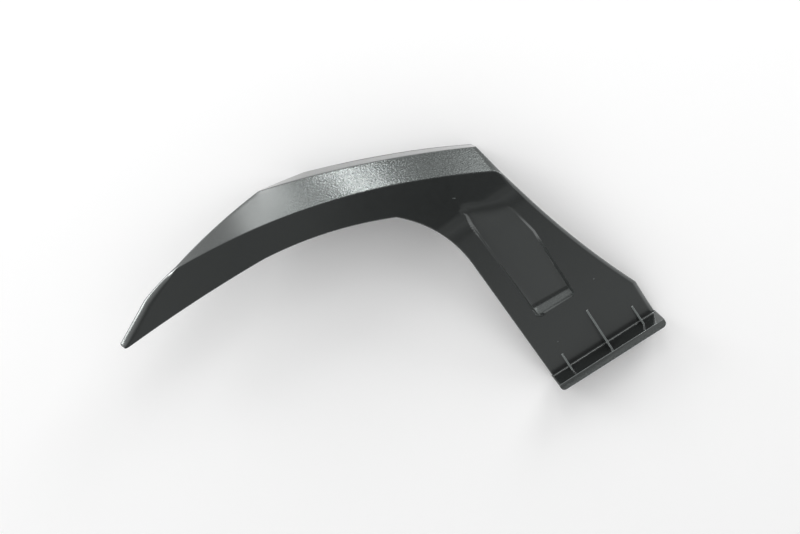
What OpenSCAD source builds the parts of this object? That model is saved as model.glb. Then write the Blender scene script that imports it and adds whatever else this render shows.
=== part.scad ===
// Mudguard: a one-piece moulded shell, lying with its smooth side wall upward.
// A long arm and a short leg go round the wheel opening. Along the arm the wall
// turns over a crease into a sloping facet and then into a deep rim.

/* [Shell] */
// Thickness of the moulded shell
wall = 2.5; // [2:0.1:3]
// Height of the side wall above the ground, at the crown
depth = 50; // [46:1:60]
// Height lost by the facet between the crease and the rim
facet_drop = 26; // [20:1:30]
// Outward lean of the rim over its full depth
rim_spread = 8; // [6:0.5:12]
// Outward lean of the rim at its end by the leg
rim_end_spread = 6; // [4:0.5:10]
// Depth of the rim where it starts, at the shoulder
rim_start_depth = 8; // [6:0.5:14]
// Depth of the small turned-down edge on the tip and the leg
edge_depth = 8; // [6:0.5:10]
// Width of the rounding along the crease and the rim
crease_round = 1.6; // [1:0.1:3]
// Width of the rolled edge on the leg
leg_roll = 2.6; // [2:0.1:3.5]
// Width of the rolled edge near the tip
tip_roll = 5; // [3:0.5:6]

/* [Wheel opening edge] */
// Tip end of the edge, across
opening_tip_x = -272; // [-290:1:-266]
// Tip end of the edge, up
opening_tip_y = -80; // [-84:1:-74]
// Middle of the arm, across
opening_arm_x = -137; // [-150:1:-125]
// Middle of the arm, up
opening_arm_y = 8; // [2:1:12]
// Crown of the opening, across
opening_crown_x = -4; // [-12:1:6]
// Crown of the opening, up
opening_crown_y = 50; // [44:1:54]
// Start of the straight leg edge, across
opening_leg_x = 76; // [70:1:82]
// Start of the straight leg edge, up
opening_leg_y = 0; // [-6:1:6]
// Bulge of the edge between the tip and the middle of the arm
opening_tip_bulge = 2; // [0:0.5:4]
// Bulge of the edge between the middle of the arm and the crown
opening_arm_bulge = 5.8; // [3:0.2:8]
// Bulge of the corner between the crown and the leg
opening_corner_bulge = 9.6; // [6:0.2:13]

/* [Outer edge] */
// Outer corner of the tip, across
tip_x = -282; // [-296:1:-278]
// Outer corner of the tip, up
tip_y = -76; // [-80:1:-70]
// Bend in the edge near the tip, across
kink_x = -259; // [-264:1:-254]
// Bend in the edge near the tip, up
kink_y = -34; // [-40:1:-28]
// Place where the facet starts, across
facet_start_x = -227; // [-232:1:-220]
// Place where the facet starts, up
facet_start_y = 0; // [-5:1:5]
// Shoulder where the rim starts, across
shoulder_x = -146; // [-154:1:-138]
// Shoulder where the rim starts, up
shoulder_y = 78; // [72:1:84]
// End of the rim at the leg, across
rim_end_x = 78; // [72:1:84]
// End of the rim at the leg, up
rim_end_y = 124; // [120:1:130]
// Apex, where the crease meets the leg's outer edge, across
apex_x = 100; // [96:1:104]
// Apex, up
apex_y = 98; // [94:1:102]
// Heel, where the leg's outer edge bends towards the foot, across
heel_x = 245; // [240:1:249]
// Heel, up
heel_y = -15; // [-20:1:-10]
// Bulge of the outer edge between the facet's start and the shoulder
shoulder_bulge = 2.6; // [0:0.2:4]
// Bulge of the rim line
rim_bulge = 5.9; // [4:0.1:8]
// Bulge of the crease between the wall and the facet
crease_bulge = 18.6; // [16:0.2:21]
// Hollow of the leg's outer edge
leg_hollow = 5; // [2:0.5:8]

/* [Foot] */
// Left end of the foot's inner corner, across
foot_x = 160; // [154:1:166]
// Left end of the foot's inner corner, up
foot_y = -114; // [-120:1:-108]
// Length of the foot's inner corner
foot_length = 126; // [120:1:130]
// Direction of the foot, in degrees from level
foot_angle = 32.5; // [30:0.5:35]
// Distance of the bend between arm and leg from the foot
bend_distance = 183; // [175:1:190]
// Half width of the rounding of that bend
bend_round = 12; // [6:1:20]
// Thickness of the foot flange
foot_wall = 3; // [2.6:0.1:4]
// Height of the foot flange above the leg
flange_height = 22; // [16:1:28]
// Outward lean of the flange from square to the leg, in degrees
flange_lean = 9.5; // [4:0.5:15]
// Width of the lip along the flange's free edge
lip_width = 7; // [5:0.5:10]
// Droop of the lip below the leg's direction, in degrees
lip_droop = 6; // [0:1:15]
// How far the flange runs past the leg at each end
flange_overhang = 1; // [0.5:0.5:3]
// Radius of the lip's corners
lip_corner = 5; // [2:0.5:6]

/* [Gussets] */
// Thickness of each gusset
gusset_wall = 2.2; // [1.6:0.1:3]
// Places of the gussets from the left end of the foot
gusset_places = [20, 65.5, 108]; // [10:0.5:118]
// Lengths of the gussets along the leg
gusset_lengths = [16, 42, 19]; // [8:1:45]
// Heights of the gussets up the flange
gusset_heights = [11.5, 19.5, 11.5]; // [6:0.5:20]

/* [Recess in the leg] */
// Lower left corner, from the foot's left end
recess_low_left = 18.5; // [16:0.5:22]
// Lower right corner, from the foot's left end
recess_low_right = 64; // [60:0.5:67]
// Distance of the lower end from the foot
recess_low = 64; // [58:1:70]
// Widest place of the left side, from the foot's left end
recess_side_left = 9; // [7:0.5:11]
// Distance of that place from the foot
recess_side_left_up = 181; // [172:1:186]
// Bend in the right side, from the foot's left end
recess_side_right = 62; // [60:0.5:64]
// Distance of that bend from the foot
recess_side_right_up = 140; // [134:1:146]
// Upper left corner, from the foot's left end
recess_high_left = 11; // [9:0.5:14]
// Distance of the upper left corner from the foot
recess_high_left_up = 201; // [194:1:204]
// Upper right corner, from the foot's left end
recess_high_right = 55.5; // [52:0.5:58]
// Distance of the upper right corner from the foot
recess_high_right_up = 168; // [160:1:174]
// Depth at the lower left corner
recess_depth_left = 9; // [5:0.5:10]
// Depth at the lower right corner
recess_depth_right = 7; // [4:0.5:8]
// Slant of the recess's side walls across their full depth
recess_side_slant = 3; // [2:0.5:5]
// Slant of the recess's end wall across its full depth
recess_end_slant = 11.5; // [8:0.5:13]
// Rounding of the recess's corners
recess_round = 2.5; // [1.5:0.1:3]

/* [Hidden] */

// Columns across the side wall between the opening edge and the crease
wall_columns = 6;
// Steps in each rounding
round_steps = 3;
// Half width of the tip's rounded end, and how many stations shape it
tip_end_radius = 5;
tip_end_steps = 3;
// Bulge of the outer edge between the bend near the tip and the facet's start
kink_bulge = 1;
// Share of the turned-down edge that is rounding rather than upright wall
rolled_share = 0.3;
// Outward lean of that edge
edge_lean = 0.5;

// Directions on plan: along the foot, and from the foot up the leg
foot_dir = [cos(foot_angle), sin(foot_angle)];
leg_dir = [-sin(foot_angle), cos(foot_angle)];
foot_left = [foot_x, foot_y];
foot_right = foot_left + foot_dir * foot_length;

// Middles of the rounded edges of the foot flange, as [y, z] on the leg: at the
// root and at the top. The flange's inner face passes through the foot's corner.
half = foot_wall / 2;
flange_way = [-sin(flange_lean), cos(flange_lean)];
face_shift = -half * [cos(flange_lean), sin(flange_lean)];
flange_root = face_shift + flange_way * (half * (sin(flange_lean) - 1) / cos(flange_lean));
flange_top = face_shift + flange_way * ((flange_height - half) / cos(flange_lean));

// The flange's root touches the ground, which sets the height of the leg's face
rough_tilt = atan((depth - foot_wall) / bend_distance);
foot_z = half - flange_root * [sin(rough_tilt), cos(rough_tilt)];
leg_slope = (depth - foot_z) / bend_distance;
leg_tilt = atan(leg_slope);

function unit(v) = v / norm(v);

function mix(a, b, f) = a + (b - a) * f;

// Point on a shallow curve from a to b that bulges to the left of its way
function curve_point(a, b, bulge, f) =
    let (d = b - a, left = unit([-d.y, d.x]))
    a + d * f + left * (4 * bulge * f * (1 - f));

// Point on a chain of such curves, where t counts the pieces passed
function chain_point(points, bulges, t) =
    let (i = min(floor(t), len(bulges) - 1))
    curve_point(points[i], points[i + 1], bulges[i], t - i);

// Height of the side wall's upper face: level on the arm, then down the leg
function wall_z(p) =
    let (past = bend_distance - (p - foot_left) * leg_dir,
         ease = (past + bend_round) ^ 2 / (4 * bend_round))
    depth - leg_slope * (past < -bend_round ? 0 : past > bend_round ? past : ease);

// Edge of the wheel opening, from the tip round to the foot
opening_points = [
    [opening_tip_x, opening_tip_y],
    [opening_arm_x, opening_arm_y],
    [opening_crown_x, opening_crown_y],
    [opening_leg_x, opening_leg_y],
    foot_left
];
opening_bulges = [opening_tip_bulge, opening_arm_bulge, opening_corner_bulge, 0];

// Outer edge: tip, bend, start of the facet, shoulder, end of the rim, then
// apex, heel and foot. The piece from the rim's end to the apex is the end wall.
outline_points = [
    [tip_x, tip_y],
    [kink_x, kink_y],
    [facet_start_x, facet_start_y],
    [shoulder_x, shoulder_y],
    [rim_end_x, rim_end_y],
    [apex_x, apex_y],
    [heel_x, heel_y],
    foot_right
];
outline_bulges = [0, kink_bulge, shoulder_bulge, rim_bulge, 0, -leg_hollow, 0];
at_facet = 2;
at_shoulder = 3;
at_full_rim = 3.21;
at_rim_end = 4;
at_apex = 5;

function opening_point(t) = chain_point(opening_points, opening_bulges, t);

function outline_point(t) = chain_point(outline_points, outline_bulges, t);

// Each knot pairs a place on the opening edge with one on the outer edge and
// one on the crease. The last value counts the stations up to the next knot.
knots = [
    [0, 0, 0, 5],
    [0.26, 1, 0, 5],
    [0.5, at_facet, 0, 10],
    [1.17, at_shoulder, 0.29, 5],
    [1.47, at_full_rim, 0.42, 8],
    [2, 3.6, 0.68, 8],
    [2.5, at_rim_end, 1, 1],
    [2.58, at_apex + 0.02, 1, 6],
    [3, 5.38, 1, 10],
    [3.72, 6, 1, 4],
    [4, 7, 1, 0]
];

stations = [
    for (k = [0:len(knots) - 2], i = [0:knots[k][3] - 1])
        mix(knots[k], knots[k + 1], i / knots[k][3]),
    knots[len(knots) - 1]
];

// Height of the turned-down edge below the wall, which stops at the ground
function edge_height(p) = min(edge_depth, wall_z(p));

function roll_width(t) = t < at_apex ? tip_roll : leg_roll;

// Outer edge moved in towards the opening by the rolled edge
function rolled_point(s) =
    let (out = outline_point(s[1]), in = opening_point(s[0]))
    out + unit(in - out) * min(roll_width(s[1]), edge_height(out) * 0.4);

crease_start = rolled_point(knots[2]);
crease_end = rolled_point(knots[7]) + unit(crease_start - [apex_x, apex_y]) * leg_roll;

function crease_point(s) =
    s[1] >= at_facet && s[1] <= at_rim_end
        ? curve_point(crease_start, crease_end, crease_bulge, s[2])
        : rolled_point(s);

// Height of the outer edge, at the foot of the facet or of the rolled edge
function outline_z(t) =
    let (p = outline_point(t),
         rolled = wall_z(p) - edge_height(p) * rolled_share)
    t > at_rim_end ? rolled
        : lookup(t, [[at_facet, rolled], [at_shoulder, depth - facet_drop]]);

// Depth of the rim below the outer edge, and its outward lean
rim_full = depth - facet_drop;
tip_edge = edge_depth * (1 - rolled_share);
function rim_depth(t) =
    t > at_rim_end ? edge_height(outline_point(t)) * (1 - rolled_share)
        : lookup(t, [
            [at_facet, tip_edge],
            [at_shoulder, rim_start_depth],
            [at_full_rim, rim_full],
            [at_rim_end, rim_full]
        ]);

function rim_lean(t) =
    t > at_rim_end ? edge_lean
        : lookup(t, [
            [at_facet, edge_lean],
            [at_shoulder, 1],
            [at_full_rim, rim_spread],
            [at_rim_end, rim_end_spread]
        ]);

function raised(p) = [p.x, p.y, wall_z(p)];

// Points of a rounded corner at p between a and b
function rounded(a, p, b, width) =
    let (start = p + unit(a - p) * min(width, norm(a - p) * 0.48),
         end = p + unit(b - p) * min(width, norm(b - p) * 0.48))
    [for (i = [0:round_steps])
        let (f = i / round_steps) mix(mix(start, p, f), mix(p, end, f), f)];

// Section across the part at one station, from the opening to the rim's foot
function section(s) =
    let (in = opening_point(s[0]),
         crease = crease_point(s),
         out = outline_point(s[1]),
         away = unit(out - crease),
         low = out + away * rim_lean(s[1]),
         out_z = outline_z(s[1]),
         c = raised(crease),
         o = [out.x, out.y, out_z],
         b = [low.x, low.y, out_z - rim_depth(s[1])],
         width = s[1] < at_facet ? tip_roll * 0.6 : crease_round,
         turn = rounded(raised(in), c, o, width),
         wall_end = [turn[0].x, turn[0].y])
    concat(
        [for (j = [0:wall_columns - 1]) raised(mix(in, wall_end, j / wall_columns))],
        turn,
        rounded(c, o, b, crease_round),
        [b]
    );

// The tip's end is round on plan: its first section is drawn in and moved out
tip_section = section(stations[0]);
tip_middle = mix(tip_section[0], tip_section[wall_columns], 0.6);
tip_way = unit(opening_point(0) - opening_point(0.1));
tip_sections = [
    for (i = [0:tip_end_steps - 1])
        let (a = 20 + 70 * i / tip_end_steps)
        [for (p = tip_section)
            let (q = tip_middle + (p - tip_middle) * sin(a))
            [q.x, q.y, p.z] + [tip_way.x, tip_way.y, 0] * (tip_end_radius * cos(a))]
];

outer = concat(tip_sections, [for (s = stations) section(s)]);
rows = len(outer);
columns = len(outer[0]);

// Outward direction of one patch of the outer skin
function patch_normal(i, j) =
    unit(cross(outer[i + 1][j + 1] - outer[i][j], outer[i][j + 1] - outer[i + 1][j]));

// One step towards a shift that lies one wall thickness behind every patch
function settle(shift, rules, k) =
    k == len(rules) ? shift
        : settle(shift + rules[k][0] * (rules[k][1] - shift * rules[k][0]), rules, k + 1);

function repeat_settle(shift, rules, times) =
    times == 0 ? shift : repeat_settle(settle(shift, rules, 0), rules, times - 1);

// Point of the inner skin behind one point of the outer skin. The rim's foot
// stays level, so its shift has no height.
function inner_point(i, j) =
    let (rules = concat(
            [for (a = [max(i - 1, 0):min(i, rows - 2)], b = [max(j - 1, 0):min(j, columns - 2)])
                [patch_normal(a, b), wall]],
            j == columns - 1 ? [[[0, 0, 1], 0]] : []))
    outer[i][j] - repeat_settle([0, 0, 0], rules, 12);

module shell() {
    inner = [for (i = [0:rows - 1]) [for (j = [0:columns - 1]) inner_point(i, j)]];
    points = concat([for (row = outer) each row], [for (row = inner) each row]);
    back = rows * columns;
    last = columns - 1;
    end = (rows - 1) * columns;
    faces = concat(
        [for (i = [0:rows - 2], j = [0:columns - 2])
            let (p = i * columns + j)
            each [[p, p + 1, p + columns + 1], [p, p + columns + 1, p + columns]]],
        [for (i = [0:rows - 2], j = [0:columns - 2])
            let (p = back + i * columns + j)
            each [[p, p + columns + 1, p + 1], [p, p + columns, p + columns + 1]]],
        [for (i = [0:rows - 2])
            let (p = i * columns, q = p + columns)
            each [[p, q, q + back], [p, q + back, p + back]]],
        [for (i = [0:rows - 2])
            let (p = i * columns + last, q = p + columns)
            each [[p, q + back, q], [p, p + back, q + back]]],
        [for (j = [0:columns - 2])
            each [[j, back + j, back + j + 1], [j, back + j + 1, j + 1]]],
        [for (j = [0:columns - 2])
            let (p = end + j)
            each [[p, p + 1, back + p + 1], [p, back + p + 1, back + p]]]
    );
    polyhedron(points, faces, convexity = 6);
}

// Places its children on the leg: x along the foot, y up the leg, z off its face
module on_leg() {
    translate([foot_left.x, foot_left.y, foot_z])
        rotate([leg_tilt, 0, foot_angle])
            children();
}

// The lip leaves the flange's top, and its free edge is rounded as well
lip_way = [-cos(lip_droop), -sin(lip_droop)];
lip_edge = flange_top + lip_way * (lip_width - half);
flange_run = foot_length + 2 * flange_overhang;
fillet = 1.2;
fillet_bar = 0.3;

// Round bar along the foot, centred on one [y, z] place
module foot_bar(place, radius, inset = 0) {
    translate([inset - flange_overhang, place.x, place.y])
        rotate([90, 0, 90])
            cylinder(flange_run - 2 * inset, radius, radius, $fn = 20);
}

// Round plate that shapes one corner of the lip, given from the flange's end
module lip_corner_plate(place) {
    translate([place, lip_edge.x, lip_edge.y])
        rotate([lip_droop, 0, 0])
            translate([0, lip_corner - half, -half])
                cylinder(foot_wall, lip_corner, lip_corner, $fn = 40);
}

module foot_flange() {
    hull() {
        foot_bar(flange_root, half);
        foot_bar(flange_top, half);
    }
    hull() {
        foot_bar(flange_top, half);
        lip_corner_plate(lip_corner - flange_overhang);
        lip_corner_plate(foot_length + flange_overhang - lip_corner);
    }
    // Fillet in the corner between the leg and the flange
    hull() {
        foot_bar([fillet, -fillet_bar], fillet_bar, flange_overhang);
        foot_bar([0, -fillet_bar], fillet_bar, flange_overhang);
        foot_bar(flange_way * fillet, fillet_bar, flange_overhang);
    }
}

// Three-cornered web from the leg's face up to the flange, sunk into both
module gusset(place, length, height) {
    hull() {
        for (p = [[length, -0.1], [length - 1, -half], flange_root, flange_way * height + face_shift])
            translate([place - gusset_wall / 2, p.x, p.y])
                rotate([90, 0, 90])
                    cylinder(gusset_wall, fillet_bar, fillet_bar, $fn = 12);
    }
}

// How far the recess's filling rises above the leg's face
recess_lift = recess_round + 6;
// Depth, at the upper left corner, of the level wall below the leg's face carried on
recess_start_depth = (recess_high_left_up - bend_distance) * sin(leg_tilt);

// Solid that fills the recess, or with grow its outer skin. Each corner of the
// opening has a twin above it, moved outward, so that the walls slant on past the
// leg's face and cut it cleanly.
module recess_solid(grow) {
    up = 1 / cos(leg_tilt);
    r = recess_round;
    side = [recess_side_slant, 0] * (recess_lift / recess_depth_left);
    end = [0, recess_end_slant] * (recess_lift / recess_depth_left / 2);
    corners = [
        [recess_low_left + r, recess_low * up + r, 0, -side - end],
        [recess_low_right - r, recess_low * up + r, 0, side - end],
        [recess_side_right - r, recess_side_right_up * up, 0, side],
        [recess_high_right - r, recess_high_right_up * up, 0, side],
        [recess_high_left + r, recess_high_left_up * up, recess_start_depth, -side],
        [recess_side_left + r, recess_side_left_up * up, 0, -side]
    ];
    floor_corners = [
        [corners[0].x + recess_side_slant, corners[0].y + recess_end_slant, recess_depth_left],
        [corners[1].x - recess_side_slant, corners[1].y + recess_end_slant, recess_depth_right]
    ];
    hull() {
        for (c = floor_corners)
            translate([c.x, c.y, r - c.z])
                sphere(r + grow, $fn = 24);
        for (c = corners) {
            if (c.y > recess_low * up + r)
                translate([c.x, c.y, r - c.z])
                    sphere(r + grow, $fn = 24);
            translate([c.x + c[3].x, c.y + c[3].y, recess_lift])
                sphere(r + grow, $fn = 24);
        }
    }
}

// Slab under the leg's face that keeps only the recess's skin behind it
module behind_leg() {
    margin = 4 * recess_depth_left;
    thick = 3 * recess_depth_left;
    translate([-margin, recess_low - margin, -thick - wall / 2])
        cube([foot_length + 2 * margin, recess_high_left_up - recess_low + 2 * margin, thick]);
}

// The recess's skin behind the wall, kept under the level wall past the bend too
module recess_skin() {
    intersection() {
        on_leg()
            intersection() {
                recess_solid(wall);
                behind_leg();
            }
        translate([foot_x - bend_distance, foot_y, 0])
            cube([2 * bend_distance, 2 * bend_distance, depth - wall / 2]);
    }
}

// Place on plan of a point given on the leg
function leg_to_plan(x, y, z) =
    foot_left + foot_dir * x + leg_dir * (y * cos(leg_tilt) - z * sin(leg_tilt));

// Middle of one of the lip's round corners, and how far its plate reaches
function lip_corner_plan(x) =
    let (in = lip_corner - half)
    leg_to_plan(x, lip_edge.x + in * cos(lip_droop), lip_edge.y + in * sin(lip_droop));

function lip_reach(side) =
    let (n = side * sin(leg_tilt + lip_droop))
    lip_corner * sqrt(1 - n * n) + half * abs(n);

// The origin is the middle of the part's box on plan, on the ground
plan_low = [
    min([for (row = outer) for (p = row) p.x]),
    lip_corner_plan(lip_corner - flange_overhang).y - lip_reach(leg_dir.y)
];
plan_high = [
    lip_corner_plan(foot_length + flange_overhang - lip_corner).x + lip_reach(leg_dir.x),
    max([for (row = outer) for (p = row) p.y])
];
plan_middle = (plan_low + plan_high) / 2;

module mudguard() {
    color([0.13, 0.14, 0.14])
        translate([-plan_middle.x, -plan_middle.y, 0])
            difference() {
                union() {
                    shell();
                    on_leg() {
                        foot_flange();
                        for (i = [0:len(gusset_places) - 1])
                            gusset(gusset_places[i], gusset_lengths[i], gusset_heights[i]);
                    }
                    recess_skin();
                }
                on_leg() recess_solid(0);
            }
}

mudguard();
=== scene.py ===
import math

import bmesh
import bpy
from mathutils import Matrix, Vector


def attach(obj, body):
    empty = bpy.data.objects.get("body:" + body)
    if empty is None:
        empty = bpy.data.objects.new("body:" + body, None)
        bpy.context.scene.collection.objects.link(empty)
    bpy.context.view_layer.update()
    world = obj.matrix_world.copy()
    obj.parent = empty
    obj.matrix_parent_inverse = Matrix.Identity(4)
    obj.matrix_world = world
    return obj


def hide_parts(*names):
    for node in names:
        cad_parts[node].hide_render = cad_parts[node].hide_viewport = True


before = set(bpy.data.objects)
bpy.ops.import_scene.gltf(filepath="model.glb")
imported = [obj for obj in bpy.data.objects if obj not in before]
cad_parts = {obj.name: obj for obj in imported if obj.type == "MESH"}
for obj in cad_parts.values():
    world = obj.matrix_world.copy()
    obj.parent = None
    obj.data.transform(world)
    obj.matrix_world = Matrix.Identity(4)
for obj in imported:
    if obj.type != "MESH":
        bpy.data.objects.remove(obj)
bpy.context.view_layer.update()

MM = 0.001

# Sizes of the mudguard in millimetres, under the source's names where it has them

WALL = 2.5
DEPTH = 50.0
FACET_DROP = 26.0
# How far the rim's foot stands out: at the rim's start, where it is fully deep, and at its end
RIM_START_SPREAD = 1.0
RIM_SPREAD = 8.0
RIM_END_SPREAD = 5.85
RIM_START_DEPTH = 8.0
EDGE_DEPTH = 8.0
ROLLED_SHARE = 0.3
TIP_ROLLED_SHARE = 0.45
EDGE_LEAN = 0.5
CREASE_ROUND = 1.6
# Width of the crisper rounding between the wall and the facet
FOLD_ROUND = 1.0
# Width of the rolled edge: at the tip's end, near the tip, where the facet starts, at the apex
# and on the leg
TIP_WIDE_ROLL = 6.5
TIP_ROLL = 5.0
FACET_ROLL = 2.2
APEX_ROLL = 1.2
LEG_ROLL = 3.2
# The rolled edge is at most this many times as wide as the edge is deep
ROLL_LIMIT = 1.1
TIP_END_RADIUS = 5.0

OPENING_TIP = Vector((-272, -80))
OPENING_ARM = Vector((-137, 8))
OPENING_CROWN = Vector((-4, 50))
OPENING_LEG = Vector((76, 0))
OPENING_BULGES = (2.0, 5.8, 9.6, 0.0)

TIP = Vector((-282, -76))
KINK = Vector((-259, -34))
FACET_START = Vector((-227, 0))
SHOULDER = Vector((-146, 78))
RIM_END = Vector((78, 124))
APEX = Vector((100, 98))
HEEL = Vector((245, -15))
OUTLINE_BULGES = (0.0, 1.0, 2.6, 5.9, 0.0, -5.0, 0.0)
CREASE_BULGE = 19.8
# How far short of the apex the crease stops
CREASE_STOP = 3.6

FOOT = Vector((160, -114))
FOOT_LENGTH = 126.0
FOOT_ANGLE = math.radians(32.5)
BEND_DISTANCE = 183.0
BEND_ROUND = 13.0
FOOT_WALL = 3.0
FLANGE_HEIGHT = 22.0
FLANGE_LEAN = math.radians(9.5)
FLANGE_OVERHANG = 1.0
LIP_WIDTH = 7.0
LIP_DROOP = math.radians(6)
LIP_CORNER = 5.0
FILLET = 1.6

GUSSET_WALL = 2.2
# Each gusset: place along the foot, length on the leg, height on the flange
GUSSETS = ((20.0, 16.0, 11.5), (65.5, 42.0, 19.5), (108.0, 19.0, 11.5))

RECESS_LOW = 61.6
RECESS_END_SLANT = 11.5
RECESS_CORNER = 3.5
RECESS_BLEND = 2.0
# Width over which each side curves in to the floor
RECESS_HOLLOW = 8.0
# The outer part of a side is steep and takes most of the depth
STEEP_PART = 0.28
STEEP_SHARE = 0.93
# Left and right side of the recess: distances up the leg, with places along the foot
RECESS_SIDES = (
    ((64.0, 18.5), (181.0, 9.0), (201.0, 11.4)),
    ((64.0, 64.5), (140.0, 62.0), (168.0, 55.5), (176.0, 52.0)),
)
# The floor's low and high ends on each side: distances up the leg, and depth at the low end
RECESS_FLOOR = ((73.1, 198.0, 9.0), (70.6, 166.0, 7.5))
# The recess's floor steepens on its way down, by this share of its slope
FLOOR_BOW = 0.06

# Middle of the part's box on plan, which is the row frame's origin
PLAN_MIDDLE = Vector((-4.5419, 1.06454))

# Directions on plan and the leg's slope

FOOT_DIR = Vector((math.cos(FOOT_ANGLE), math.sin(FOOT_ANGLE)))
LEG_DIR = Vector((-math.sin(FOOT_ANGLE), math.cos(FOOT_ANGLE)))
FOOT_RIGHT = FOOT + FOOT_DIR * FOOT_LENGTH

HALF = FOOT_WALL / 2
FLANGE_WAY = Vector((-math.sin(FLANGE_LEAN), math.cos(FLANGE_LEAN)))
FACE_SHIFT = -HALF * Vector((math.cos(FLANGE_LEAN), math.sin(FLANGE_LEAN)))
FLANGE_ROOT = FACE_SHIFT + FLANGE_WAY * (HALF * (math.sin(FLANGE_LEAN) - 1) / math.cos(FLANGE_LEAN))
FLANGE_TOP = FACE_SHIFT + FLANGE_WAY * ((FLANGE_HEIGHT - HALF) / math.cos(FLANGE_LEAN))

ROUGH_TILT = math.atan((DEPTH - FOOT_WALL) / BEND_DISTANCE)
FOOT_Z = HALF - FLANGE_ROOT.dot(Vector((math.sin(ROUGH_TILT), math.cos(ROUGH_TILT))))
LEG_SLOPE = (DEPTH - FOOT_Z) / BEND_DISTANCE
LEG_TILT = math.atan(LEG_SLOPE)


def placed(x, y, z):
    """A point in millimetres, as the source lays the part out, moved to the row frame in metres."""
    return Vector((x - PLAN_MIDDLE.x, y - PLAN_MIDDLE.y, z)) * MM


def on_leg(x, y, z):
    """A point on the leg: x along the foot, y up the leg, z off its face."""
    up = y * math.cos(LEG_TILT) - z * math.sin(LEG_TILT)
    plan = FOOT + FOOT_DIR * x + LEG_DIR * up
    return placed(plan.x, plan.y, FOOT_Z + y * math.sin(LEG_TILT) + z * math.cos(LEG_TILT))


def ease(f):
    """A smooth step from 0 to 1."""
    f = min(max(f, 0.0), 1.0)
    return f * f * (3 - 2 * f)


def risen(place, rise):
    """How far a rise has come at a place: the rise is given by its start and its length."""
    start, length = rise
    return ease((place - start) / length)


def lower_of(a, b, blend):
    """The smaller of two heights, with the corner between them rounded."""
    near = max(blend - abs(a - b), 0.0) / blend
    return min(a, b) - near * near * blend / 4


def higher_of(a, b, blend):
    return -lower_of(-a, -b, blend)


def looked_up(t, table):
    """The value at t, straight between the rows of a table."""
    if t <= table[0][0]:
        return table[0][1]
    for (t0, v0), (t1, v1) in zip(table, table[1:]):
        if t <= t1:
            return v0 + (v1 - v0) * (t - t0) / (t1 - t0)
    return table[-1][1]


# The outlines on plan

OPENING = (OPENING_TIP, OPENING_ARM, OPENING_CROWN, OPENING_LEG, FOOT)
OUTLINE = (TIP, KINK, FACET_START, SHOULDER, RIM_END, APEX, HEEL, FOOT_RIGHT)
# Places on the outline, counted in points from the tip. The tip's broad rounding and its deep
# and wide rolled edge give way between the kink and the facet.
AT_KINK = 1
AT_TIP_TURN = 1.2
AT_LESS_DEEP = 1.6
AT_NARROWER = 1.7
AT_FACET = 2
AT_SHOULDER = 3
AT_FULL_RIM = 3.21
AT_RIM_END = 4
AT_APEX = 5


def curve_point(a, b, bulge, f):
    """A point on the way from a to b, bulging to the left of it."""
    way = b - a
    left = Vector((-way.y, way.x)).normalized()
    return a + way * f + left * (4 * bulge * f * (1 - f))


def chain_point(points, bulges, t):
    i = min(int(t), len(bulges) - 1)
    return curve_point(points[i], points[i + 1], bulges[i], t - i)


def opening_point(t):
    return chain_point(OPENING, OPENING_BULGES, t)


def outline_point(t):
    return chain_point(OUTLINE, OUTLINE_BULGES, t)


def leg_plane(p):
    """Height of the leg's face, carried on past the bend, and the place of p on the leg."""
    along = (p - FOOT).dot(FOOT_DIR)
    up = (p - FOOT).dot(LEG_DIR)
    return FOOT_Z + LEG_SLOPE * up, along, up


def wall_height(p):
    """Height of the side wall, which bends down to the leg."""
    past = BEND_DISTANCE - (p - FOOT).dot(LEG_DIR)
    if past < -BEND_ROUND:
        return DEPTH
    if past > BEND_ROUND:
        return DEPTH - LEG_SLOPE * past
    return DEPTH - LEG_SLOPE * (past + BEND_ROUND) ** 2 / (4 * BEND_ROUND)


def recess_side(side, up):
    """Place of one side of the recess along the foot, turning in at the round lower corners."""
    inner = RECESS_CORNER - min(max(up - RECESS_LOW, 0.0), RECESS_CORNER)
    turned_in = RECESS_CORNER - math.sqrt(RECESS_CORNER**2 - inner**2)
    return looked_up(up, RECESS_SIDES[side]) + (turned_in if side == 0 else -turned_in)


def hollowed(distance):
    """Share of the depth reached at a distance in from a side: steep, then running into the floor."""
    f = min(max(distance / RECESS_HOLLOW, 0.0), 1.0)
    if f < STEEP_PART:
        return STEEP_SHARE * f / STEEP_PART
    left = (1 - f) / (1 - STEEP_PART)
    return 1 - (1 - STEEP_SHARE) * left * left


def face_height(p):
    """Height of the outer skin on the side wall, with the recess pressed into it."""
    wall = wall_height(p)
    plane, along, up = leg_plane(p)
    sides = [recess_side(0, up), recess_side(1, up)]
    if up <= RECESS_LOW or along <= sides[0] or along >= sides[1]:
        return wall
    floors = []
    for low, high, depth in RECESS_FLOOR:
        low_z = FOOT_Z + LEG_SLOPE * low - depth / math.cos(LEG_TILT)
        high_z = min(DEPTH, FOOT_Z + LEG_SLOPE * high)
        f = (up - low) / (high - low)
        floors.append(low_z + (high_z - low_z) * (f + FLOOR_BOW * max(f * (1 - f), 0)))
    floor = floors[0] + (floors[1] - floors[0]) * (along - sides[0]) / (sides[1] - sides[0])
    end = plane - (up - RECESS_LOW) / RECESS_END_SLANT * RECESS_FLOOR[0][2]
    depth = -lower_of(higher_of(floor, end, RECESS_BLEND) - wall, 0.0, RECESS_BLEND)
    return wall - depth * hollowed(along - sides[0]) * hollowed(sides[1] - along)


# The shell's sections, each from the opening edge to the rim's foot

# Places on the opening, the outline and the crease, and the rows up to the next knot
KNOTS = (
    (0.00, 0.00, 0.00, 12),
    (0.26, 1.00, 0.00, 12),
    (0.50, 2.00, 0.00, 26),
    (1.17, 3.00, 0.29, 12),
    (1.47, 3.21, 0.42, 18),
    (2.00, 3.60, 0.68, 24),
    (2.50, 4.00, 1.00, 1),
    (2.58, 5.02, 1.00, 18),
    (3.00, 5.38, 1.00, 100),
    (3.72, 6.00, 1.00, 30),
    (4.00, 7.00, 1.00, 0),
)
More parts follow.
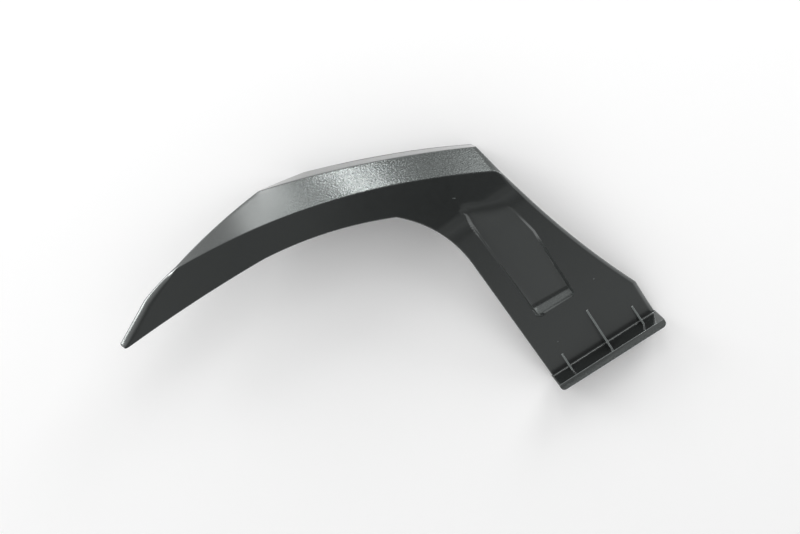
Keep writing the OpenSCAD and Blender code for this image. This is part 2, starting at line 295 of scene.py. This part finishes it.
# The first knot of the leg, just past the apex
LEG_KNOT = KNOTS[7]
# The leg's rolled edge widens from the apex, over this way along the outline
ROLL_WIDENS = 0.1

ROUND_STEPS = 5
FACET_STEPS = 10
RIM_STEPS = 6
WALL_COLUMNS = 138
COLUMNS = WALL_COLUMNS + 2 * ROUND_STEPS + FACET_STEPS + RIM_STEPS
# Distances of the first columns from the opening edge, over which it is softened
EDGE_ROUND = 0.9
EDGE_COLUMNS = (0.0, 0.15, 0.4, 0.9)
# The most of the wall that each of them may take
EDGE_COLUMN_SHARE = 0.02
# Columns that are drawn to the recess's sides and to the inner ends of its side walls
RECESS_COLUMNS = (18, 46, 85, 113)
# The start and the length, along the opening, over which they are drawn there
COLUMNS_GATHER = (LEG_KNOT[0], 0.2)
# Shares of the wall's width: the least and most up to the left side, the least between the sides,
# and the most up to the right side
LEFT_LEAST, LEFT_MOST = 0.1, 0.6
SIDES_APART = 0.25
RIGHT_MOST = 0.9
# A side wall's columns take this share of the way between the sides
SIDE_WALL_SHARE = 0.13
CROSSING_STEPS = 4
CROSSING_LEAST, CROSSING_MOST = 0.05, 0.95
# A corner's rounding takes at most this share of the way to the next point, and more at the tip
CORNER_REACH = 0.48
TIP_REACH = 0.6
# The tip's end: its rows, the angle of the first, and its middle as a share of the section
TIP_ROWS = 8
TIP_FIRST_ANGLE = 12
TIP_MIDDLE = 0.6
# Rises along X of the facet's grain and of the dull rim foot, and where each dies away again
GRAIN_RISE, GRAIN_FALL = (-150, 60), (92, 10)
RIM_DULL_RISE, RIM_DULL_FALL = (-90, 60), (96, 10)
END_WALL_GRAIN = 0.5
# Where the dull part of the recess's sides dies away up the leg
SIDE_DULL_FALL = (112, 26)
# The wall's thickness at a sharp bend is at most this many times the plain one
THICKEST = 1.15
# Bends sharper than this many degrees stay sharp in the shading
SHELL_SHARP = 35
FOOT_SHARP = 40


def stations():
    """Places of all rows, evenly between the knots."""
    rows = []
    for knot, after in zip(KNOTS, KNOTS[1:]):
        for i in range(knot[3]):
            f = i / knot[3]
            rows.append([a + (b - a) * f for a, b in zip(knot[:3], after[:3])])
    rows.append(list(KNOTS[-1][:3]))
    return rows


def edge_height(p):
    """Depth of the turned-down edge, less where the wall runs out."""
    return min(EDGE_DEPTH, wall_height(p))


def tip_roll(t):
    """Width of the rolled edge, broader round the tip."""
    return looked_up(t, ((AT_KINK, TIP_WIDE_ROLL), (AT_NARROWER, TIP_ROLL), (AT_FACET, FACET_ROLL)))


def leg_roll(t):
    """Width of the rolled edge, narrow at its first row, where the crease meets it."""
    return looked_up(t, ((LEG_KNOT[1], APEX_ROLL), (LEG_KNOT[1] + ROLL_WIDENS, LEG_ROLL)))


def rolled_point(s):
    """The outer edge, moved in towards the opening by the rolled edge."""
    out, into = outline_point(s[1]), opening_point(s[0])
    roll = tip_roll(s[1]) if s[1] < AT_APEX else leg_roll(s[1])
    return out + (into - out).normalized() * min(roll, edge_height(out) * ROLL_LIMIT)


CREASE_START = rolled_point(KNOTS[2])
CREASE_END = APEX + (CREASE_START - APEX).normalized() * CREASE_STOP


def crease_point(s):
    """The inner end of the facet, or of the rolled edge where there is no facet."""
    if AT_FACET <= s[1] <= AT_RIM_END:
        return curve_point(CREASE_START, CREASE_END, CREASE_BULGE, s[2])
    return rolled_point(s)


def rolled_share(t):
    """The part of the edge's depth that is rolled over: more round the tip."""
    return looked_up(t, ((AT_KINK, TIP_ROLLED_SHARE), (AT_LESS_DEEP, ROLLED_SHARE)))


def outline_height(t):
    """Height of the outer edge, at the foot of the facet or of the rolled edge."""
    p = outline_point(t)
    rolled = wall_height(p) - edge_height(p) * rolled_share(t)
    if t > AT_RIM_END:
        return rolled
    return looked_up(t, ((AT_FACET, rolled), (AT_SHOULDER, DEPTH - FACET_DROP)))


def rim_depth(t):
    """Depth of the rim, or of the turned-down edge, below the outer edge."""
    if t > AT_RIM_END:
        return edge_height(outline_point(t)) * (1 - ROLLED_SHARE)
    full = DEPTH - FACET_DROP
    tip_edge = EDGE_DEPTH * (1 - rolled_share(t))
    return looked_up(t, ((AT_FACET, tip_edge), (AT_SHOULDER, RIM_START_DEPTH), (AT_FULL_RIM, full)))


def rim_lean(t):
    """How far out the rim's foot stands from the outer edge."""
    if t > AT_RIM_END:
        return EDGE_LEAN
    start, end = (AT_FACET, EDGE_LEAN), (AT_RIM_END, RIM_END_SPREAD)
    return looked_up(t, (start, (AT_SHOULDER, RIM_START_SPREAD), (AT_FULL_RIM, RIM_SPREAD), end))


def rounded(a, p, b, width, reach=CORNER_REACH):
    """Points of the rounded corner at p, between a and b."""
    start = p + (a - p).normalized() * min(width, (a - p).length * CORNER_REACH)
    end = p + (b - p).normalized() * min(width, (b - p).length * reach)
    points = []
    for i in range(ROUND_STEPS + 1):
        f = i / ROUND_STEPS
        points.append(start.lerp(p, f).lerp(p.lerp(end, f), f))
    return points


def crossing(a, b, side):
    """How far from a to b the way crosses one side of the recess."""
    f = 0.5
    step = (b - a).dot(FOOT_DIR)
    for _ in range(CROSSING_STEPS):
        _, along, up = leg_plane(a.lerp(b, f))
        f += (recess_side(side, up) - along) / step
        f = min(max(f, CROSSING_LEAST), CROSSING_MOST)
    return f


def wall_places(into, end, s):
    """Places of the wall's columns, close at the opening edge and gathered along the recess."""
    length = (end - into).length
    plain = [min(d / length, EDGE_COLUMN_SHARE * j) for j, d in enumerate(EDGE_COLUMNS)]
    left_over = WALL_COLUMNS - len(plain)
    first = plain[-1]
    even = [(j + 1) / (left_over + 1) for j in range(left_over)]
    share = risen(s[0], COLUMNS_GATHER)
    if share > 0:
        left = min(max(crossing(into, end, 0), LEFT_LEAST), LEFT_MOST)
        right = min(max(crossing(into, end, 1), left + SIDES_APART), RIGHT_MOST)
        gap = (right - left) * SIDE_WALL_SHARE
        marks = [n / (left_over + 1) for n in RECESS_COLUMNS]
        gathered = (left, left + gap, right - gap, right)
        table = ((0, 0), *zip(marks, gathered), (1, 1))
        even = [f + (looked_up(f, table) - f) * share for f in even]
    return plain + [first + (1 - first) * f for f in even]


def section(s):
    """One row of points across the shell, from the opening edge to the rim's foot."""
    into, crease, out = opening_point(s[0]), crease_point(s), outline_point(s[1])
    low = out + (out - crease).normalized() * rim_lean(s[1])
    top = outline_height(s[1])
    a = Vector((into.x, into.y, wall_height(into)))
    c = Vector((crease.x, crease.y, wall_height(crease)))
    o = Vector((out.x, out.y, top))
    b = Vector((low.x, low.y, top - rim_depth(s[1])))
    if s[1] > AT_RIM_END:
        turn = rounded(a, c, o, CREASE_ROUND)
    else:
        width = looked_up(s[1], ((AT_TIP_TURN, TIP_ROLL), (AT_FACET, FOLD_ROUND)))
        reach = looked_up(s[1], ((AT_TIP_TURN, TIP_REACH), (AT_FACET, CORNER_REACH)))
        turn = rounded(a, c, o, width, reach)
    edge = rounded(c, o, b, CREASE_ROUND)
    end = turn[0].xy
    wall = [into.lerp(end, f) for f in wall_places(into, end, s)]
    return (
        [Vector((p.x, p.y, face_height(p))) for p in wall]
        + turn
        + [turn[-1].lerp(edge[0], i / FACET_STEPS) for i in range(1, FACET_STEPS)]
        + edge
        + [edge[-1].lerp(b, i / RIM_STEPS) for i in range(1, RIM_STEPS + 1)]
    )


def tip_sections(first):
    """The tip is round on plan: its first section, drawn in and moved out in steps."""
    middle = first[0].lerp(first[WALL_COLUMNS], TIP_MIDDLE)
    way = (opening_point(0) - opening_point(0.1)).normalized()
    rows = []
    for i in range(TIP_ROWS):
        a = math.radians(TIP_FIRST_ANGLE + (90 - TIP_FIRST_ANGLE) * i / TIP_ROWS)
        row = []
        for p in first:
            q = middle.lerp(p, math.sin(a))
            row.append(Vector((q.x, q.y, p.z)) + way.to_3d() * TIP_END_RADIUS * math.cos(a))
        rows.append(row)
    return rows


def grain_share(column, p):
    """Where the moulding is grained: the facet away from the tip, and the recess's end wall."""
    facet = WALL_COLUMNS + ROUND_STEPS
    if facet - 2 <= column <= facet + FACET_STEPS + 1:
        return risen(p.x, GRAIN_RISE) * (1 - risen(p.x, GRAIN_FALL))
    if column < WALL_COLUMNS:
        _, along, up = leg_plane(p.xy)
        in_end = RECESS_LOW < up < RECESS_LOW + RECESS_END_SLANT - 1
        if in_end and recess_side(0, up) < along < recess_side(1, up):
            return END_WALL_GRAIN
    return 0.0


def steep_share(p):
    """How far the steep lower part of the recess's sides is dull, from nothing to fully."""
    _, along, up = leg_plane(p)
    steep = STEEP_PART * RECESS_HOLLOW
    beside = 0 < along - recess_side(0, up) < steep or 0 < recess_side(1, up) - along < steep
    if not beside or up < RECESS_LOW:
        return 0.0
    return 1 - risen(up, SIDE_DULL_FALL)


def build_shell():
    """The shell: its outer skin as a grid, and the inner skin a wall's thickness behind it."""
    rows = [section(s) for s in stations()]
    rows = tip_sections(rows[0]) + rows
    bm = bmesh.new()
    grain = bm.verts.layers.float.new("grain")
    softened = bm.verts.layers.float.new("softened")
    dulled = bm.verts.layers.float.new("dulled")
    # The painted highlight's layer, left at nothing on the shell
    bm.verts.layers.float.new("painted_highlight")
    bmesh.ops.create_grid(bm, x_segments=len(rows) - 1, y_segments=COLUMNS, size=1)
    rim_foot = set()
    for v in bm.verts:
        row = round((v.co.x + 1) / 2 * (len(rows) - 1))
        column = round((v.co.y + 1) / 2 * COLUMNS)
        p = rows[row][column]
        v[grain] = grain_share(column, p)
        if column < WALL_COLUMNS:
            v[dulled] = steep_share(p.xy)
        if column < len(EDGE_COLUMNS):
            v[softened] = EDGE_ROUND - EDGE_COLUMNS[column]
        if column == COLUMNS:
            rim_foot.add(v)
            v[dulled] = risen(p.x, RIM_DULL_RISE) * (1 - risen(p.x, RIM_DULL_FALL))
        v.co = placed(p.x, p.y, p.z)
    bm.normal_update()
    behind = []
    for v in bm.verts:
        place = v.co - v.normal * (min(v.calc_shell_factor(), THICKEST) * WALL * MM)
        if v in rim_foot:
            place.z = v.co.z
        behind.append((v, place))
    made = bmesh.ops.extrude_face_region(bm, geom=bm.faces[:], use_keep_orig=True)
    for v, place in behind:
        v.co = (place.x, place.y, max(place.z, 0.0))
    for v in made["geom"]:
        if isinstance(v, bmesh.types.BMVert) and v[softened] > 0:
            v.co.z -= (EDGE_ROUND - math.sqrt(max(EDGE_ROUND**2 - v[softened] ** 2, 0))) * MM
    return bm


def finished(bm, sharp_angle):
    """Smooth shading, with the corners past an angle left sharp."""
    bm.normal_update()
    for face in bm.faces:
        face.smooth = True
    for edge in bm.edges:
        edge.smooth = edge.calc_face_angle(0) < math.radians(sharp_angle)
    return bm


def rounded_edges(bm, edges, offset, segments):
    bmesh.ops.bevel(
        bm,
        geom=edges,
        offset=offset,
        offset_type="OFFSET",
        affect="EDGES",
        segments=segments,
        profile=0.5,
        material=-1,
        clamp_overlap=True,
    )


# The foot: flange and lip from one strip, and the gussets

LIP_WAY = Vector((-math.cos(LIP_DROOP), -math.sin(LIP_DROOP)))
# Width on each side over which the flange's fold is painted paler as a highlight, and how near its line that
# starts
FOLD_HIGHLIGHT_WIDTH = 0.8
FOLD_HIGHLIGHT_REACH = 0.3
# Width on each side over which a gusset's top is painted paler as a highlight, and its height at the low end
GUSSET_HIGHLIGHT_WIDTH = 0.45
GUSSET_TOE = 1.0
# The lip's grain, and how far below the flange's top it still counts as lip
LIP_GRAIN = 0.8
LIP_BELOW = 0.5
# The flange's outer fold stands this much of half the wall above its middle line
FOLD_RISE = 0.9
# A small shift of the fold's inner corner
FOLD_INSIDE = Vector((-0.2, -0.1))
LIP_CORNER_STEPS = 8
# Softened edges of the flange and of the gussets: their width and steps
FLANGE_SOFT, FLANGE_SOFT_STEPS = 0.9, 4
GUSSET_SOFT, GUSSET_SOFT_STEPS = 0.7, 3
# The fillet's bar: how deep it is sunk, how far it runs past the foot, and the steps of its curve
FILLET_SUNK = 0.6
FILLET_OVERHANG = 0.4
FILLET_STEPS = 8
# Lengths closer than this are taken as equal
NEAR = 0.1


def bar(bm, start, length, profile):
    """A bar along the foot with the given profile, its faces turned outward."""
    face = bm.faces.new([bm.verts.new((start, y, z)) for y, z in profile])
    run = bmesh.ops.extrude_face_region(bm, geom=[face])
    moved = [g for g in run["geom"] if isinstance(g, bmesh.types.BMVert)]
    bmesh.ops.translate(bm, verts=moved, vec=(length, 0, 0))
    bmesh.ops.recalc_face_normals(bm, faces=bm.faces)


def build_flange():
    """The flange and its lip: one bent strip, with round corners on the lip."""
    inward = HALF * Vector((math.cos(FLANGE_LEAN), math.sin(FLANGE_LEAN)))
    above = HALF * Vector((-math.sin(LIP_DROOP), math.cos(LIP_DROOP)))
    lip_end = FLANGE_TOP + LIP_WAY * LIP_WIDTH
    bend_inside = FLANGE_TOP - inward - above + FOLD_INSIDE
    fold = FLANGE_TOP + inward + above * FOLD_RISE
    profile = [
        FLANGE_ROOT + inward - FLANGE_WAY * HALF,
        fold - FLANGE_WAY * FOLD_HIGHLIGHT_WIDTH,
        fold,
        fold + LIP_WAY * FOLD_HIGHLIGHT_WIDTH,
        lip_end + above,
        lip_end - above,
        bend_inside,
        FLANGE_ROOT - inward - FLANGE_WAY * HALF,
    ]
    bm = bmesh.new()
    grain = bm.verts.layers.float.new("grain")
    painted_highlight = bm.verts.layers.float.new("painted_highlight")
    bar(bm, -FLANGE_OVERHANG, FOOT_LENGTH + 2 * FLANGE_OVERHANG, profile)

    def is_corner(edge):
        a, b = edge.verts
        across = abs(a.co.x - b.co.x) < NEAR and edge.calc_length() - FOOT_WALL < NEAR
        return across and a.co.y < lip_end.x + 1

    rounded_edges(bm, [e for e in bm.edges if is_corner(e)], LIP_CORNER, LIP_CORNER_STEPS)
    bm.normal_update()
    folds = [e for e in bm.edges if e.calc_face_angle(0) > math.radians(FOOT_SHARP)]
    rounded_edges(bm, folds, FLANGE_SOFT, FLANGE_SOFT_STEPS)
    for v in bm.verts:
        on_lip = v.co.y < FLANGE_TOP.x and v.co.z > FLANGE_TOP.y - LIP_BELOW
        v[grain] = LIP_GRAIN if on_lip else 0.0
        # A painted highlight along the fold: paler plastic in place of the edge's reflection
        v[painted_highlight] = 1.0 if (v.co.yz - fold).length < FOLD_HIGHLIGHT_REACH else 0.0
        v.co = on_leg(*v.co)
        v.co.z = max(v.co.z, 0)
    return finished(bm, FOOT_SHARP)


def build_fillet():
    """The rounded inside corner between the leg's face and the flange."""
    reach = FILLET / math.tan((math.pi / 2 + FLANGE_LEAN) / 2)
    bm = bmesh.new()
    profile = [(-FILLET_SUNK, -FILLET_SUNK)]
    for i in range(FILLET_STEPS + 1):
        turn = -math.pi / 2 - (math.pi / 2 - FLANGE_LEAN) * i / FILLET_STEPS
        profile.append((reach + FILLET * math.cos(turn), FILLET + FILLET * math.sin(turn)))
    bar(bm, -FILLET_OVERHANG, FOOT_LENGTH + 2 * FILLET_OVERHANG, profile)
    for v in bm.verts:
        v.co = on_leg(*v.co)
    return finished(bm, FOOT_SHARP)


def build_gusset(place, length, height):
    """A thin three-cornered web with softened edges, sunk into the leg and the flange."""
    corners = ((length, GUSSET_TOE), (length, -HALF), FLANGE_ROOT, FLANGE_WAY * height + FACE_SHIFT)
    bm = bmesh.new()
    painted_highlight = bm.verts.layers.float.new("painted_highlight")
    bar(bm, place - GUSSET_WALL / 2, GUSSET_WALL, corners)
    rounded_edges(bm, bm.edges[:], GUSSET_SOFT, GUSSET_SOFT_STEPS)
    low, top = Vector(corners[0]), Vector(corners[3])
    across = Vector((low.y - top.y, top.x - low.x)).normalized()
    for v in bm.verts:
        # A painted highlight along the gusset's top edge: paler plastic in place of its reflection
        v[painted_highlight] = 1.0 if abs((v.co.yz - top).dot(across)) < GUSSET_HIGHLIGHT_WIDTH else 0.0
        v.co = on_leg(*v.co)
    return finished(bm, FOOT_SHARP)


def added(whole, part):
    """Adds one part's mesh to the moulding's."""
    mesh = bpy.data.meshes.new("part")
    part.to_mesh(mesh)
    part.free()
    whole.from_mesh(mesh)
    bpy.data.meshes.remove(mesh)


# Shader maths


class Value:
    """A node's output that takes Python's arithmetic."""

    def __init__(self, recipe, socket):
        self.recipe = recipe
        self.socket = socket

    def maths(self, operation, first, second):
        return self.recipe.node("ShaderNodeMath", [first, second], operation=operation)

    def __add__(self, other):
        return self.maths("ADD", self, other)

    __radd__ = __add__

    def __sub__(self, other):
        return self.maths("SUBTRACT", self, other)

    def __rsub__(self, other):
        return self.maths("SUBTRACT", other, self)

    def __mul__(self, other):
        return self.maths("MULTIPLY", self, other)

    __rmul__ = __mul__

    def __truediv__(self, other):
        return self.maths("DIVIDE", self, other)

    def __pow__(self, other):
        return self.maths("POWER", self, other)


class Recipe:
    """The nodes of one material or world."""

    def __init__(self, owner):
        owner.use_nodes = True
        self.tree = owner.node_tree
        self.tree.nodes.clear()

    def node(self, kind, inputs, output=0, stops=(), **settings):
        node = self.tree.nodes.new(kind)
        for name, setting in settings.items():
            setattr(node, name, setting)
        if stops:
            ramp = node.color_ramp
            while len(ramp.elements) < len(stops):
                ramp.elements.new(0.5)
            for element, (place, grey) in zip(ramp.elements, stops):
                element.position = place
                element.color = (grey, grey, grey, 1)
        items = inputs.items() if isinstance(inputs, dict) else enumerate(inputs)
        for key, value in items:
            if isinstance(value, Value):
                self.tree.links.new(value.socket, node.inputs[key])
            elif value is not None:
                node.inputs[key].default_value = value
        return Value(self, node.outputs[output]) if node.outputs else None


# The plastic's grey and roughness
PLASTIC_TONE = 0.013
PLASTIC_ROUGHNESS = 0.17
# How far the broad and the finer cloudiness move them
TONE_DRIFT = 0.004
ROUGHNESS_DRIFT = 0.06
# How far the grain, the painted highlight on the edges, the dulling and the specks move them
GRAIN_TONE = 0.16
GRAIN_ROUGHNESS = 0.1
PAINTED_HIGHLIGHT_TONE = 0.1
DULLED_ROUGHNESS = 0.6
SPECK_TONE = 0.07
# The middle of the fine noise, about which the grain makes the plastic paler or darker
FINE_MIDDLE = 0.45
# The plastic is very slightly green: red and blue as shares of green
RED_SHARE, BLUE_SHARE = 0.9, 0.98
# How much of the relief is cloudiness that the smooth plastic has too
SMOOTH_RELIEF = 0.04
# Pale specks and a short mark: places in the row frame, how each is stretched, and its radius
SPECKS = (
    (on_leg(88.6, 66.4, 0), (1, 1, 0.2), 0.0011),
    (on_leg(23.2, 29.4, 0), (1, 1, 0.2), 0.0009),
    (placed(54.4, 69.2, 50), (0.35, 1, 0.2), 0.0008),
)


def moulded_plastic():
    material = bpy.data.materials.new("moulded_black_plastic")
    r = Recipe(material)
    place = r.node("ShaderNodeTexCoord", {}, output="Object")
    grained = r.node("ShaderNodeAttribute", {}, output="Fac", attribute_name="grain")
    painted_highlight = r.node("ShaderNodeAttribute", {}, output="Fac", attribute_name="painted_highlight")
    dulled = r.node("ShaderNodeAttribute", {}, output="Fac", attribute_name="dulled")

    cloud = r.node("ShaderNodeTexNoise", {"Vector": place, "Scale": 14.0, "Detail": 3.0, "Roughness": 0.55})
    mottle = r.node("ShaderNodeTexNoise", {"Vector": place, "Scale": 160.0, "Detail": 4.0, "Roughness": 0.6})
    fine = r.node("ShaderNodeTexNoise", {"Vector": place, "Scale": 620.0, "Detail": 2.0, "Roughness": 0.6})
    pits = r.node("ShaderNodeTexVoronoi", {"Vector": place, "Scale": 480.0}, feature="F1")

    tone = PLASTIC_TONE + TONE_DRIFT * (cloud - 0.5) + TONE_DRIFT * (mottle - 0.5)
    # Painted highlight: a paler tone along the flange's fold and the gussets' tops, standing in for their
    # edge reflections
    tone = tone + grained * GRAIN_TONE * (fine - FINE_MIDDLE) + PAINTED_HIGHLIGHT_TONE * painted_highlight
    rough = PLASTIC_ROUGHNESS + ROUGHNESS_DRIFT * (cloud - 0.5) + ROUGHNESS_DRIFT * (mottle - 0.5)
    rough = rough + grained * (0.01 + GRAIN_ROUGHNESS * (fine - 0.5)) + DULLED_ROUGHNESS * dulled

    for spot, stretch, size in SPECKS:
        off = r.node("ShaderNodeVectorMath", [place, spot], operation="SUBTRACT", output="Vector")
        off = r.node("ShaderNodeVectorMath", [off, stretch], operation="MULTIPLY", output="Vector")
        reach = r.node("ShaderNodeVectorMath", [off], operation="LENGTH", output="Value")
        inside = r.node("ShaderNodeClamp", [(size - reach) * (2.0 / size)])
        tone = tone + SPECK_TONE * inside

    height = grained * (fine * 0.5 + pits * 0.5) + SMOOTH_RELIEF * mottle
    colour = r.node("ShaderNodeCombineColor", [tone * RED_SHARE, tone, tone * BLUE_SHARE])
    bump = r.node("ShaderNodeBump", {"Strength": 0.6, "Distance": 0.00024, "Height": height})
    surface = r.node(
        "ShaderNodeBsdfPrincipled",
        {
            "Base Color": colour,
            "Roughness": rough,
            "IOR": 1.65,
            "Specular Tint": (0.92, 1.0, 0.98, 1),
            "Normal": bump,
            "Coat Weight": (1 - grained) * (1 - dulled),
            "Coat Roughness": 0.17,
        },
    )
    r.node("ShaderNodeOutputMaterial", {"Surface": surface})
    return material


# The floor's grey as light meets it, and what it gains where the camera or a mirror image sees it
FLOOR_TONE = 0.78
FLOOR_SEEN = 0.22


def pale_floor():
    material = bpy.data.materials.new("pale_floor")
    r = Recipe(material)
    seen = r.node("ShaderNodeLightPath", {}, output="Is Camera Ray")
    mirrored = r.node("ShaderNodeLightPath", {}, output="Is Glossy Ray")
    shade = FLOOR_TONE + (seen + mirrored) * FLOOR_SEEN
    colour = r.node("ShaderNodeCombineColor", [shade, shade, shade])
    surface = r.node("ShaderNodeBsdfPrincipled", {"Base Color": colour, "Roughness": 0.8})
    r.node("ShaderNodeOutputMaterial", {"Surface": surface})
    return material


# The moulding, as one piece

moulding = bmesh.new()
added(moulding, finished(build_shell(), SHELL_SHARP))
added(moulding, build_flange())
added(moulding, build_fillet())
for place, length, height in GUSSETS:
    added(moulding, build_gusset(place, length, height))
moulding_mesh = bpy.data.meshes.new("mudguard_moulding")
moulding.to_mesh(moulding_mesh)
moulding.free()
moulding_mesh.materials.append(moulded_plastic())
mudguard = bpy.data.objects.new("mudguard_moulding", moulding_mesh)
bpy.context.scene.collection.objects.link(mudguard)
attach(mudguard, "root")
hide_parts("mudguard")

# The floor, a little below the part

FLOOR_HALF = 6
FLOOR_DROP = 0.0004

floor_mesh = bpy.data.meshes.new("floor")
bm = bmesh.new()
bmesh.ops.create_grid(bm, x_segments=1, y_segments=1, size=FLOOR_HALF)
bmesh.ops.translate(bm, verts=bm.verts, vec=(0, 0, -FLOOR_DROP))
bm.to_mesh(floor_mesh)
bm.free()
floor_mesh.materials.append(pale_floor())
floor = bpy.data.objects.new("floor", floor_mesh)
bpy.context.scene.collection.objects.link(floor)

# Light: lamps that stand low beyond the rim, and surroundings that are dark overhead

MIDDLE = (0, 0, 0.02)
LAMP_DISTANCE = 2.6
# Each lamp: azimuth counted from +X, elevation, width and height in metres, watts
LAMPS = (
    ("key", (115, 18), (0.7, 0.6), 3.8),
    ("strip", (97, 31), (0.4, 1.0), 3.5),
    ("left_window", (152, 14), (1.2, 0.7), 28),
    ("right_window", (62, 14), (1.2, 0.7), 28),
    ("narrow_pane", (104.7, 6), (0.1, 0.5), 5.0),
    ("wide_pane", (115, 6), (0.22, 0.5), 1.5),
    ("end_pane", (88, 6), (0.3, 0.5), 1.8),
)


def lamp(name, place, size, watts):
    """An oblong lamp at a place, turned to the mudguard."""
    data = bpy.data.lights.new(name, "AREA")
    data.shape = "RECTANGLE"
    data.size, data.size_y = size
    data.energy = watts
    light = bpy.data.objects.new(name, data)
    light.location = place
    light.rotation_euler = (Vector(MIDDLE) - Vector(place)).to_track_quat("-Z", "Y").to_euler()
    bpy.context.scene.collection.objects.link(light)


def lamp_place(azimuth, elevation):
    """A place seen from the mudguard in that direction."""
    a, e = math.radians(azimuth), math.radians(elevation)
    return (
        LAMP_DISTANCE * math.cos(e) * math.cos(a),
        LAMP_DISTANCE * math.cos(e) * math.sin(a),
        LAMP_DISTANCE * math.sin(e),
    )


for name, direction, size, watts in LAMPS:
    lamp(name, lamp_place(*direction), size, watts)

# The surroundings: a way that leans a little from upright, and the way beyond the rim
UPRIGHT = (0.03, 0.06, 0.9977)
BEYOND_WAY = (0.1, 0.99, 0)
WORLD_STRENGTH = 0.88
# Levels by the angle from upright, 1 being level: overhead, and lower down on the near side and
# beyond the rim
OVERHEAD = (
    (0.0, 0.02), (0.03, 0.01), (0.05, 0.14), (0.062, 0.38), (0.08, 0.42), (0.115, 0.26),
    (0.13, 0.28), (0.155, 0.5), (0.2, 0.34), (0.3, 0.2), (0.345, 0.3), (0.375, 0.44),
)
BEFORE = OVERHEAD + ((0.42, 0.5), (0.56, 0.52), (0.67, 1.3), (0.8, 1.6))
BEYOND = OVERHEAD + ((0.43, 0.7), (0.5, 1.4), (0.6, 1.4), (0.75, 0.9), (0.9, 1.35))


def surroundings():
    """The world, with levels by direction for reflections and light, and white for the camera."""
    world = bpy.data.worlds.new("studio")
    bpy.context.scene.world = world
    r = Recipe(world)
    way = r.node("ShaderNodeTexCoord", {}, output="Generated")
    upright = r.node("ShaderNodeVectorMath", [way, UPRIGHT], output="Value", operation="DOT_PRODUCT")
    off = r.node("ShaderNodeMath", [upright], operation="ARCCOSINE") * (2 / math.pi)
    share = r.node("ShaderNodeVectorMath", [way, BEYOND_WAY], output="Value", operation="DOT_PRODUCT")
    share = r.node("ShaderNodeClamp", [0.5 + 0.8 * share])
    level = r.node("ShaderNodeValToRGB", {"Fac": off}, stops=BEFORE) * (1 - share)
    level = level + r.node("ShaderNodeValToRGB", {"Fac": off}, stops=BEYOND) * share
    seen = r.node("ShaderNodeLightPath", {}, output="Is Camera Ray")
    grey = r.node("ShaderNodeCombineColor", [level, level, level])
    light = r.node("ShaderNodeBackground", {"Color": grey, "Strength": WORLD_STRENGTH})
    white = r.node("ShaderNodeBackground", {"Color": (1, 1, 1, 1), "Strength": WORLD_STRENGTH})
    both = r.node("ShaderNodeMixShader", [seen, light, white])
    r.node("ShaderNodeOutputWorld", {"Surface": both})


surroundings()

# The camera looks straight down, from an assumed height in millimetres

CAMERA_HEIGHT = 1300
SENSOR_WIDTH = 36
# Focal length and picture width, both in pixels
FOCAL_PIXELS = 1240
PICTURE_WIDTH = 800

camera_data = bpy.data.cameras.new("camera")
camera_data.sensor_width = SENSOR_WIDTH
camera_data.lens = SENSOR_WIDTH * FOCAL_PIXELS / PICTURE_WIDTH
camera = bpy.data.objects.new("camera", camera_data)
camera.location = placed(0, 0, CAMERA_HEIGHT)
bpy.context.scene.collection.objects.link(camera)
bpy.context.scene.camera = camera

bpy.context.scene.view_settings.view_transform = "Standard"
